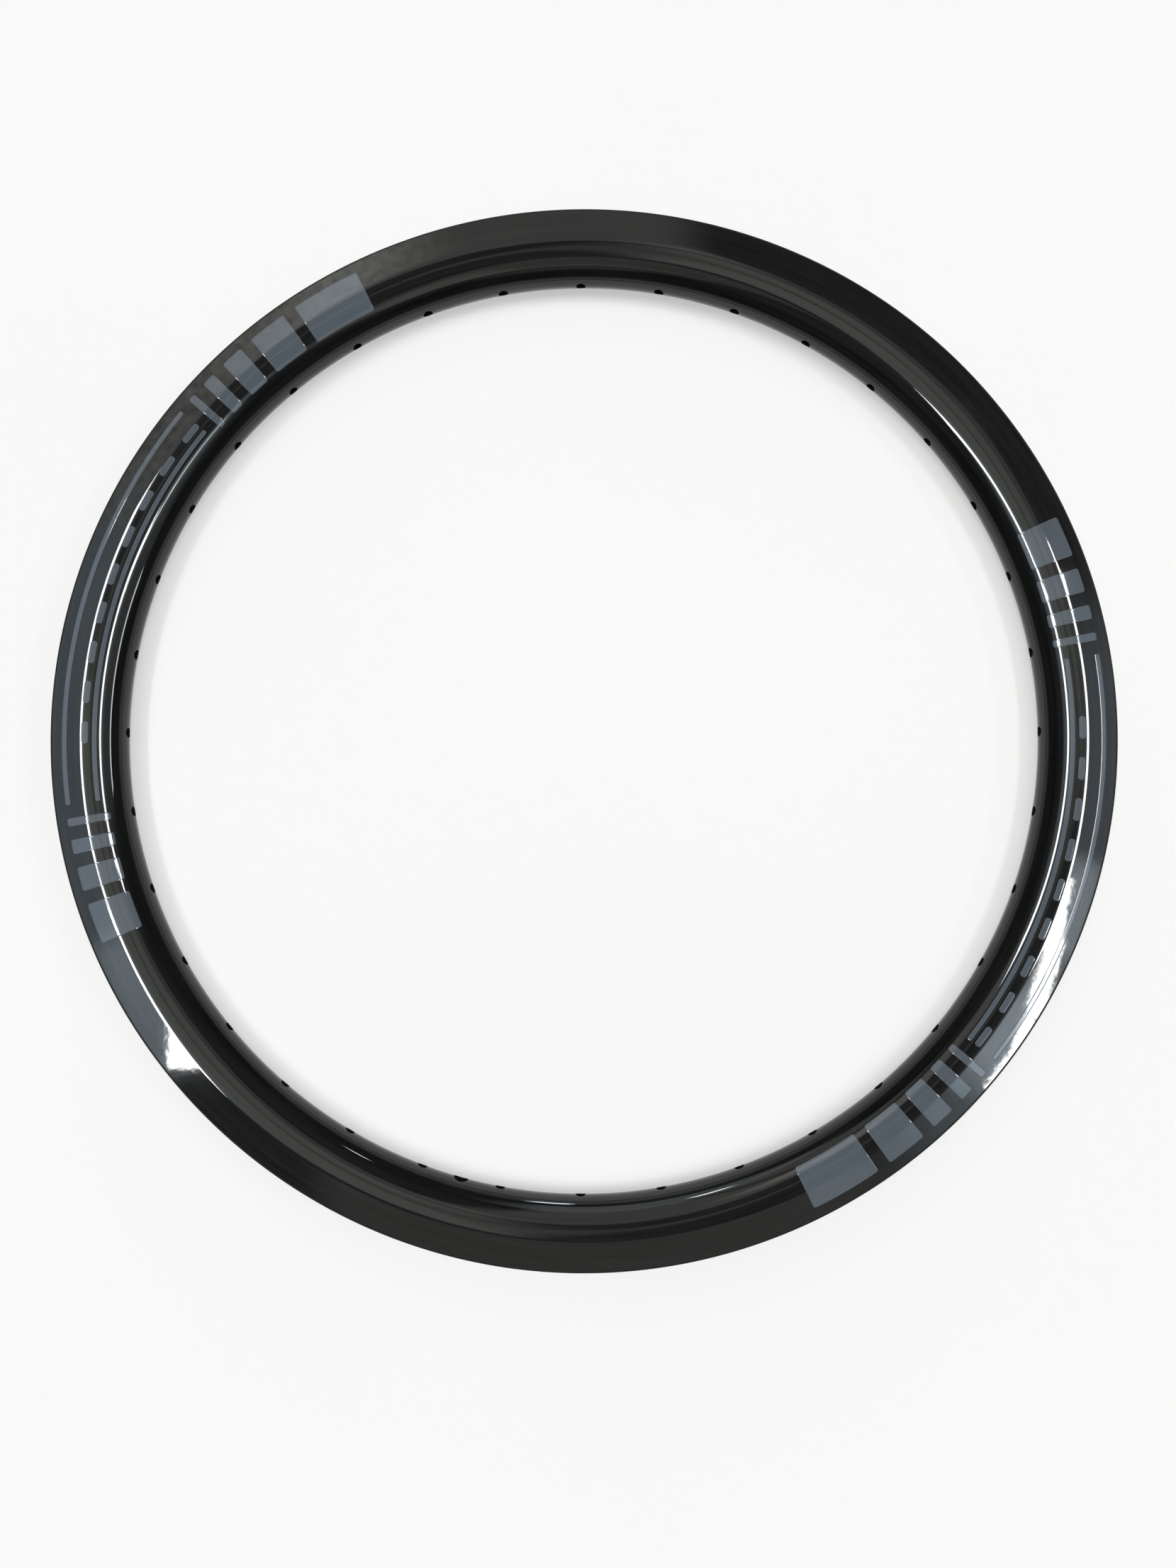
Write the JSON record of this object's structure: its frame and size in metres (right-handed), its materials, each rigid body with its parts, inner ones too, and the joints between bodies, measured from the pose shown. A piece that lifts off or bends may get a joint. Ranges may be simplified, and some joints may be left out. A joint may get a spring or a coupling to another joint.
{
  "type": "bicycle rim",
  "caption": "Hollow carbon-fibre bicycle rim with flat brake tracks, a rounded spoke bed drilled for spokes and a valve, and a hooked channel for a clincher tyre.",
  "frame": {"origin": "wheel centre, on the wheel axis and half way between the two brake tracks", "axes": "+Z along the wheel axis, up as the rim lies flat; +X through a spoke hole"},
  "size_m": [0.463, 0.463, 0.023],
  "materials": {
    "carbon_laminate": "gloss clear coat over carbon-fibre laminate",
    "decal_film": "thin gloss vinyl film"
  },
  "bodies": {
    "root": {"rim": "carbon_laminate"}
  },
  "joints": []
}
